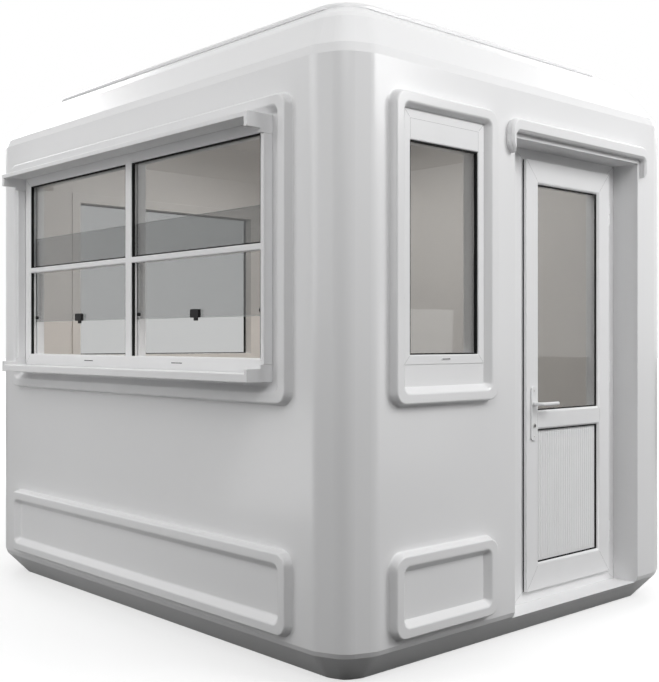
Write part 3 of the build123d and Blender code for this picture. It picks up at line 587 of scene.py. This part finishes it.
def moulded_wall(name, outward):
    """The wall with its mouldings' edges rounded as they leave the mould; it stands for the CAD wall."""
    form = node_form(name)
    face_height = max(abs(SHELL_HIGH.x * outward.x), abs(SHELL_HIGH.y * outward.y))
    groups = moulding_edges(form, outward, face_height)
    for group, ease in EASES.items():
        round_edges(form, [edge for edge in groups[group] if edge.is_valid], ease, EASE_STEPS)
    piece = add_piece(f"{name}_moulded", form, "cabin", "grp")
    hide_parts(name)


def bored_piece(name, width, shortest, slot, finish):
    """The node with its edges rounded and its bores left sharp; it stands for the CAD node."""
    form = node_form(name)
    low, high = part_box(name)
    edges = []
    for edge in form.edges:
        if len(edge.link_faces) != 2 or edge.calc_face_angle(0) < SHARP_ANGLE:
            continue
        middle = (edge.verts[0].co + edge.verts[1].co) / 2
        inset = min(middle.x - low.x, high.x - middle.x, middle.z - low.z, high.z - middle.z)
        if edge.calc_length() > shortest and (shortest > 0 or inset < PLATE_RIM):
            edges.append(edge)
    round_edges(form, edges, width, EDGE_STEPS)
    piece = add_piece(f"{name}_eased", form, "door_leaf", finish)
    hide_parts(name)


def add_box(form, centre, size):
    """Closed box about its centre; gives its vertices."""
    made = bmesh.ops.create_cube(form, size=1)["verts"]
    for vert in made:
        vert.co = Vector([part * whole for part, whole in zip(vert.co, size)]) + centre
    return made


def ease_box(form, verts, width):
    """Eases every edge between a box's vertices."""
    chosen = set(verts)
    edges = [edge for edge in form.edges if edge.verts[0] in chosen and edge.verts[1] in chosen]
    round_edges(form, edges, width, EDGE_STEPS)


def bridge(form, lower, upper):
    """Band of faces between two closed loops of vertices."""
    for index, vert in enumerate(lower):
        after = (index + 1) % len(lower)
        form.faces.new((vert, lower[after], upper[after], upper[index]))


def add_solid(form, loops):
    """Closed solid through loops of vertices, with a cap on both ends."""
    for lower, upper in zip(loops, loops[1:]):
        bridge(form, lower, upper)
    form.faces.new(loops[0][::-1])
    form.faces.new(loops[-1])


class Face:
    """A flat face that fittings lie on: a point on it, its level direction and the way it faces."""

    def __init__(self, point, along, outward):
        self.point = Vector(point)
        self.along = Vector(along)
        self.outward = Vector(outward)

    def at(self, u, z, depth=0.0):
        """Point at a place along the face, a height and a depth outward."""
        flat = self.point + self.along * u + self.outward * depth
        return Vector((flat.x, flat.y, z))


def add_ribbon(form, face, start, end):
    """Seam on a face between two (u, z) places, sunk by half its depth."""
    first = face.at(*start, -SEAM_DEPTH / 2)
    last = face.at(*end, -SEAM_DEPTH / 2)
    line = (last - first).normalized()
    side = line.cross(face.outward).normalized() * (SEAM_WIDTH / 2)
    rise = face.outward * (SEAM_DEPTH * SEAM_RISE)
    low = [form.verts.new(point) for point in (first - side, first + side, last + side, last - side)]
    high = [form.verts.new(vert.co + rise) for vert in low]
    add_solid(form, (low, high))


def add_rings(form, centre, outward, rings, sides=TURNED_SIDES):
    """Turned form about an axis: rings of (radius or radius function, height), closed at both ends."""
    reference = Vector((0, 0, 1)) if abs(outward.z) < UPRIGHT else Vector((1, 0, 0))
    across = outward.cross(reference).normalized()
    upward = across.cross(outward).normalized()
    loops = []
    for radius, height in rings:
        loop = []
        for index in range(sides):
            angle = 2 * math.pi * index / sides
            reach = radius(angle) if callable(radius) else radius
            offset = across * math.cos(angle) * reach + upward * math.sin(angle) * reach
            loop.append(form.verts.new(centre + outward * height + offset))
        loops.append(loop)
    add_solid(form, loops)


def cross_recess(size):
    """Radius of a cross-shaped screw recess by angle."""
    def radius(angle):
        arm = abs(math.cos(2 * angle))
        return size * (RECESS_WAIST + (1 - RECESS_WAIST) * arm**3)
    return radius


def add_screw(form, centre, outward, radius, height):
    """Domed screw head with a cross recess."""
    recess = cross_recess(radius * RECESS_REACH)
    dome = [(radius * out, height * up) for out, up in SCREW_DOME]
    floor = [(recess, height), (recess, height * RECESS_FLOOR)]
    add_rings(form, centre, outward, [(radius, -SCREW_SUNK), *dome, *floor], SCREW_SIDES)


def add_pill(form, face, u, z, width, height, back, front):
    """Flat cap with round ends on a face, with an eased front edge."""
    radius = height / 2
    reach = width / 2 - radius
    outlines = []
    for depth, inset in ((back, 0.0), (front - PILL_EASE, 0.0), (front, PILL_EASE)):
        loop = []
        for side in (1, -1):
            for step in range(PILL_STEPS + 1):
                angle = side * math.pi / 2 - math.pi * step / PILL_STEPS
                spread = radius - inset
                place = (u + side * reach + math.cos(angle) * spread, z + math.sin(angle) * spread)
                loop.append(form.verts.new(face.at(*place, depth)))
        outlines.append(loop)
    add_solid(form, outlines)


def add_strip(form, face, left, right, bottom, top):
    """Gasket strip on a face, at the gaskets' depths."""
    outline = corners((left, right, bottom, top))
    add_solid(form, [[form.verts.new(face.at(u, z, depth)) for u, z in outline] for depth in GASKET_DEPTHS])


def face_of(name, axis, sign):
    """Front face of a node that looks along an axis, away from the cabin's middle."""
    low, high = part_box(name)
    level = high[axis] if sign > 0 else low[axis]
    outward = Vector((sign, 0, 0)) if axis == 0 else Vector((0, sign, 0))
    along = Vector((0, 1, 0)) if axis == 0 else Vector((1, 0, 0))
    return Face(outward * abs(level), along, outward)


def span(name, axis):
    """A node's (left, right, bottom, top) on the face across an axis."""
    low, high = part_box(name)
    other = 1 - axis
    return low[other], high[other], low.z, high.z


def shrunk(box, width):
    """A (left, right, bottom, top) box set in on every side."""
    left, right, bottom, top = box
    return left + width, right - width, bottom + width, top - width


def corners(box):
    """Corners of a (left, right, bottom, top) box, in order round it."""
    left, right, bottom, top = box
    return (left, bottom), (right, bottom), (right, top), (left, top)


def mitres(form, face, outer, inner, inner_clear):
    """Four corner seams from an outer box to an inner one."""
    for u_side in (0, 1):
        for z_side in (2, 3):
            start = Vector((outer[u_side], outer[z_side]))
            end = Vector((inner[u_side], inner[z_side]))
            line = (end - start).normalized()
            add_ribbon(form, face, start + line * SEAM_CLEAR, end - line * inner_clear)


def window_seams():
    """Corner seams of the serving, narrow and back window frames."""
    form = bmesh.new()
    left, right, foot, _ = span("serving_gaskets", 0)
    head = span("serving_upper_glass", 0)[3]
    mitres(form, face_of("serving_frame", 0, -1), span("serving_frame", 0),
           (left, right, foot, head), WINDOW_SEAM_CLEAR)

    narrow = face_of("narrow_window_frame", 1, -1)
    outer = span("narrow_window_frame", 1)
    light = span("narrow_window_glass", 1)
    rail = outer[3] - (light[0] - outer[0])
    mitres(form, narrow, outer, (light[0], light[1], light[2], rail), WINDOW_SEAM_CLEAR)
    add_ribbon(form, narrow, (light[0], rail), (light[1], rail))
    for u in light[:2]:
        add_ribbon(form, narrow, (u, rail), (u, light[3] + WINDOW_SEAM_CLEAR))

    mitres(form, face_of("back_window_frame", 1, 1), span("back_window_frame", 1),
           span("back_window_glass", 1), WINDOW_SEAM_CLEAR)
    add_piece("window_seams", form, "cabin", "seam")


def door_seams():
    """Corner seams of the door frame, and of the leaf with its middle rail."""
    leaf = span("leaf_frame", 1)
    form = bmesh.new()
    mitres(form, face_of("door_frame", 1, -1), span("door_frame", 1), leaf, LEAF_SEAM_CLEAR)
    add_piece("door_frame_seams", form, "cabin", "seam")

    form = bmesh.new()
    glass = span("door_glass", 1)
    panel = span("door_ribbed_panel", 1)
    low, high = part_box("leaf_frame")
    for level, sign, edge, clear in ((low.y, -1, leaf, SPLAY_OUTER),
                                     (high.y, 1, shrunk(leaf, LEAF_STEP), SPLAY_INNER)):
        face = Face((0, level, 0), (1, 0, 0), (0, sign, 0))
        mitres(form, face, edge, (glass[0], glass[1], panel[2], glass[3]), clear * ACROSS_CORNER)
        bottom, top = panel[3] + clear, glass[2] - clear
        for u in (glass[0] - clear, glass[1] + clear):
            add_ribbon(form, face, (u, bottom), (u, top))
    add_piece("leaf_seams", form, "door_leaf", "seam")


def door_seal():
    """Black seal round the leaf, in the gap in front of the frame."""
    form = bmesh.new()
    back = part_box("leaf_frame")[0].y + FLANGE
    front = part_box("door_frame")[0].y - SEAL_CLEAR
    outer = shrunk(span("leaf_frame", 1), SEAL_INSET)
    inner = shrunk(outer, SEAL_WIDTH)
    loops = []
    for box, depth in ((outer, back), (outer, front), (inner, front), (inner, back)):
        loops.append([form.verts.new((x, depth, z)) for x, z in corners(box)])
    for lower, upper in zip(loops, loops[1:] + loops[:1]):
        bridge(form, lower, upper)
    add_piece("door_seal", form, "door_leaf", "rubber")


def drains():
    """Caps on the bottom rails of the windows, each with a slot whose dark colour is painted shade for the
    hole.
    """
    caps, slots = bmesh.new(), bmesh.new()
    for name, axis, sign, rise, width, places in DRAINS:
        face = face_of(name, axis, sign)
        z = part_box(name)[0].z + rise
        for u in places:
            add_pill(caps, face, u, z, width + 2 * CAP_BORDER, CAP_HEIGHT, *CAP_DEPTHS)
            add_pill(slots, face, u, z, width, SLOT_HEIGHT, *SLOT_DEPTHS)
    add_piece("drain_caps", caps, "cabin", "pvc")
    # The slots' dark colour is painted shade for the drain holes
    add_piece("drain_slots", slots, "cabin", "gap")


def handle_fittings():
    """Plate screws and the key plug with its slot, whose dark colour is painted shade for the keyway, on
    both sides of the leaf.
    """
    screws, plugs, slots = bmesh.new(), bmesh.new(), bmesh.new()
    lock_low, lock_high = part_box("lock_cylinder")
    height = (lock_low.z + lock_high.z) / 2
    for name, sign in (("backplate_outer", -1), ("backplate_inner", 1)):
        low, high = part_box(name)
        outward = Vector((0, sign, 0))
        level, end = (low.y, lock_low.y) if sign < 0 else (high.y, lock_high.y)
        middle = (low.x + high.x) / 2
        for z in (low.z + PLATE_SCREW_INSET, high.z - PLATE_SCREW_INSET):
            add_screw(screws, Vector((middle, level, z)), outward, *PLATE_SCREW)
        centre = Vector((middle, end, height))
        add_rings(plugs, centre, outward, KEY_PLUG)
        hole = add_box(slots, centre + outward * KEY_PLUG[-1][1], KEY_SLOT)
        ease_box(slots, hole, KEY_SLOT_EASE)
    add_piece("plate_screws", screws, "door_leaf", "steel")
    add_piece("key_plugs", plugs, "door_leaf", "steel_dark")
    # The key slot's dark colour is painted shade for the keyway
    add_piece("key_slots", slots, "door_leaf", "gap")


def hinge_fittings():
    """Screws on the frame's hinge tabs and domed caps on the barrels' ends."""
    low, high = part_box("hinges_fixed")
    screws, feet, heads = bmesh.new(), bmesh.new(), bmesh.new()
    axis_x = high.x - HINGE_TAB
    axis_y = low.y + HINGE_RADIUS
    screw_x = axis_x + HINGE_TAB * HINGE_SCREW_PLACE
    tab_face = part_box("door_frame")[0].y - HINGE_TAB_PROUD
    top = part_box("hinges_moving")[1].z - HINGE_LENGTH / 2
    bottom = low.z + HINGE_LENGTH / 2
    up = Vector((0, 0, 1))
    for middle in (bottom, (bottom + top) / 2, top):
        for drop in HINGE_SCREW_DROPS:
            add_screw(screws, Vector((screw_x, tab_face, middle - drop)), Vector((0, -1, 0)), *HINGE_SCREW)
        for form, way in ((heads, up), (feet, -up)):
            end = Vector((axis_x, axis_y, middle)) + way * (HINGE_LENGTH / 2)
            add_rings(form, end, way, HINGE_DOME)
    add_piece("hinge_screws", screws, "cabin", "steel")
    add_piece("hinge_feet", feet, "cabin", "enamel")
    add_piece("hinge_heads", heads, "door_leaf", "enamel")


def pane_edges():
    """Ground edges at the head and foot of the two raised panes."""
    form = bmesh.new()
    for name in ("sash_glass_near", "sash_glass_far"):
        low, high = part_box(name)
        size = (high.x - low.x + 2 * PANE_EDGE_PROUD, high.y - low.y - 2 * PANE_EDGE_INSET, PANE_EDGE)
        for z in (low.z + PANE_EDGE / 2, high.z - PANE_EDGE / 2):
            centre = Vector(((low.x + high.x) / 2, (low.y + high.y) / 2, z))
            ease_box(form, add_box(form, centre, size), PANE_EDGE_EASE)
    add_piece("pane_edges", form, "cabin", "glass_edge")


def threshold_plate():
    """Sill plate whose front edge slopes with the base's chamfer; it stands for the CAD plate."""
    low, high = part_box("threshold")
    form = bmesh.new()
    slope = CHAMFER_INSET / CHAMFER_HEIGHT * (high.z - low.z)
    outline = ((low.y, high.z), (low.y + slope, low.z), (high.y, low.z), (high.y, high.z))
    add_solid(form, [[form.verts.new((x, y, z)) for y, z in outline] for x in (low.x, high.x)])
    front = [edge for edge in form.edges if all(abs(vert.co.y - low.y) < WELD for vert in edge.verts)]
    round_edges(form, front, SILL_EASE, SILL_STEPS)
    piece = add_piece("threshold_plate", form, "cabin", "pvc")
    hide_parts("threshold")


def serving_seals():
    """Seals round the fixed panes, and upright ones alone beside the sliding panes' openings."""
    form = bmesh.new()
    face = face_of("serving_frame", 0, -1)
    left, right, foot, _ = span("serving_gaskets", 0)
    _, _, high_foot, high_head = span("serving_upper_glass", 0)
    half = MULLION / 2
    for u0, u1 in ((left, -half), (half, right)):
        for u in (u0, u1 - GASKET_WIDTH):
            add_strip(form, face, u, u + GASKET_WIDTH, high_foot, high_head)
            add_strip(form, face, u, u + GASKET_WIDTH, foot, high_foot - TRANSOM)
        for z in (high_foot, high_head - GASKET_WIDTH):
            add_strip(form, face, u0 + GASKET_WIDTH, u1 - GASKET_WIDTH, z, z + GASKET_WIDTH)
    piece = add_piece("serving_seals", form, "cabin", "rubber")
    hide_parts("serving_gaskets")


def grey_shader(tree, kind, grey):
    """Diffuse, emission or background shader of one grey."""
    shader = tree.nodes.new(kind)
    shader.inputs["Color"].default_value = (grey, grey, grey, 1)
    return shader


def make_stage():
    """Pale floor that shows white and keeps the cabin's shadow."""
    mesh = bpy.data.meshes.new("floor")
    form = bmesh.new()
    bmesh.ops.create_grid(form, x_segments=1, y_segments=1, size=FLOOR_SIZE)
    form.to_mesh(mesh)
    form.free()
    floor = bpy.data.objects.new("floor", mesh)
    bpy.context.scene.collection.objects.link(floor)
    floor.location.z = -FLOOR_DROP
    material, tree, output = new_material("floor_pale")
    pale = grey_shader(tree, "ShaderNodeBsdfDiffuse", FLOOR_PALE)
    bounce = grey_shader(tree, "ShaderNodeBsdfDiffuse", FLOOR_BOUNCE)
    mirrored = grey_shader(tree, "ShaderNodeBsdfDiffuse", FLOOR_MIRRORED)
    glow = grey_shader(tree, "ShaderNodeEmission", 1)
    place = tree.nodes.new("ShaderNodeTexCoord")
    away = tree.nodes.new("ShaderNodeVectorMath")
    away.operation = "LENGTH"
    link(tree, place.outputs["Object"], away.inputs[0])
    strength = ranged(tree, away.outputs["Value"], (FLOOR_GLOW, 1.0), (FLOOR_NEAR, FLOOR_FAR))
    link(tree, strength, glow.inputs["Strength"])
    shown = tree.nodes.new("ShaderNodeAddShader")
    link(tree, pale.outputs[0], shown.inputs[0])
    link(tree, glow.outputs[0], shown.inputs[1])
    path = tree.nodes.new("ShaderNodeLightPath")
    unseen = mixed_shaders(tree, path.outputs["Is Glossy Ray"], bounce, mirrored)
    direct = maths(tree, "MAXIMUM", path.outputs["Is Camera Ray"], path.outputs["Is Transmission Ray"])
    mix = mixed_shaders(tree, direct, unseen, shown)
    link(tree, mix.outputs[0], output.inputs["Surface"])
    mesh.materials.append(material)


def make_world():
    """White surroundings to look at; a dome that is brighter overhead for light."""
    world = bpy.data.worlds.new("studio")
    bpy.context.scene.world = world
    world.use_nodes = True
    tree = world.node_tree
    tree.nodes.clear()
    output = tree.nodes.new("ShaderNodeOutputWorld")
    place = tree.nodes.new("ShaderNodeTexCoord")
    parts = tree.nodes.new("ShaderNodeSeparateXYZ")
    link(tree, place.outputs["Generated"], parts.inputs[0])
    dome = ranged(tree, parts.outputs[2], (DOME_LOW, DOME_HIGH), (0.0, 1.0))
    light = tree.nodes.new("ShaderNodeBackground")
    link(tree, dome, light.inputs["Strength"])
    shown = grey_shader(tree, "ShaderNodeBackground", 1)
    shown.inputs["Strength"].default_value = 1.0
    path = tree.nodes.new("ShaderNodeLightPath")
    seen = maths(tree, "MAXIMUM", path.outputs["Is Camera Ray"], path.outputs["Is Glossy Ray"])
    seen = maths(tree, "MAXIMUM", seen, path.outputs["Is Transmission Ray"])
    mix = mixed_shaders(tree, seen, light, shown)
    link(tree, mix.outputs[0], output.inputs["Surface"])


def softbox(name, place, target, size, power):
    """Large soft lamp that the camera doesn't see."""
    data = bpy.data.lights.new(name, "AREA")
    data.shape = "RECTANGLE"
    data.size, data.size_y = size
    data.energy = power
    lamp = bpy.data.objects.new(name, data)
    lamp.location = place
    lamp.rotation_mode = "QUATERNION"
    lamp.rotation_quaternion = (Vector(target) - Vector(place)).to_track_quat("-Z", "Y")
    lamp.visible_camera = False
    bpy.context.scene.collection.objects.link(lamp)


def make_camera():
    """Level camera at the photographed corner."""
    data = bpy.data.cameras.new("camera")
    data.lens = CAMERA_LENS
    data.sensor_width = CAMERA_SENSOR
    data.shift_x, data.shift_y = CAMERA_SHIFT
    camera = bpy.data.objects.new("camera", data)
    camera.location = CAMERA_PLACE
    camera.rotation_euler = (math.radians(90), 0, -CAMERA_HEADING)
    bpy.context.scene.collection.objects.link(camera)
    bpy.context.scene.camera = camera


dress_nodes()
for name, width in EDGES.items():
    soften(name, width)
for name, outward in WALL_FACES.items():
    moulded_wall(name, outward)
for name, way in BORED.items():
    bored_piece(name, *way)
threshold_plate()
serving_seals()
window_seams()
door_seams()
door_seal()
drains()
handle_fittings()
hinge_fittings()
pane_edges()
make_stage()
make_world()
for name, lamp in LAMPS.items():
    softbox(name, *lamp)
make_camera()

scene = bpy.context.scene
scene.view_settings.view_transform = "Standard"
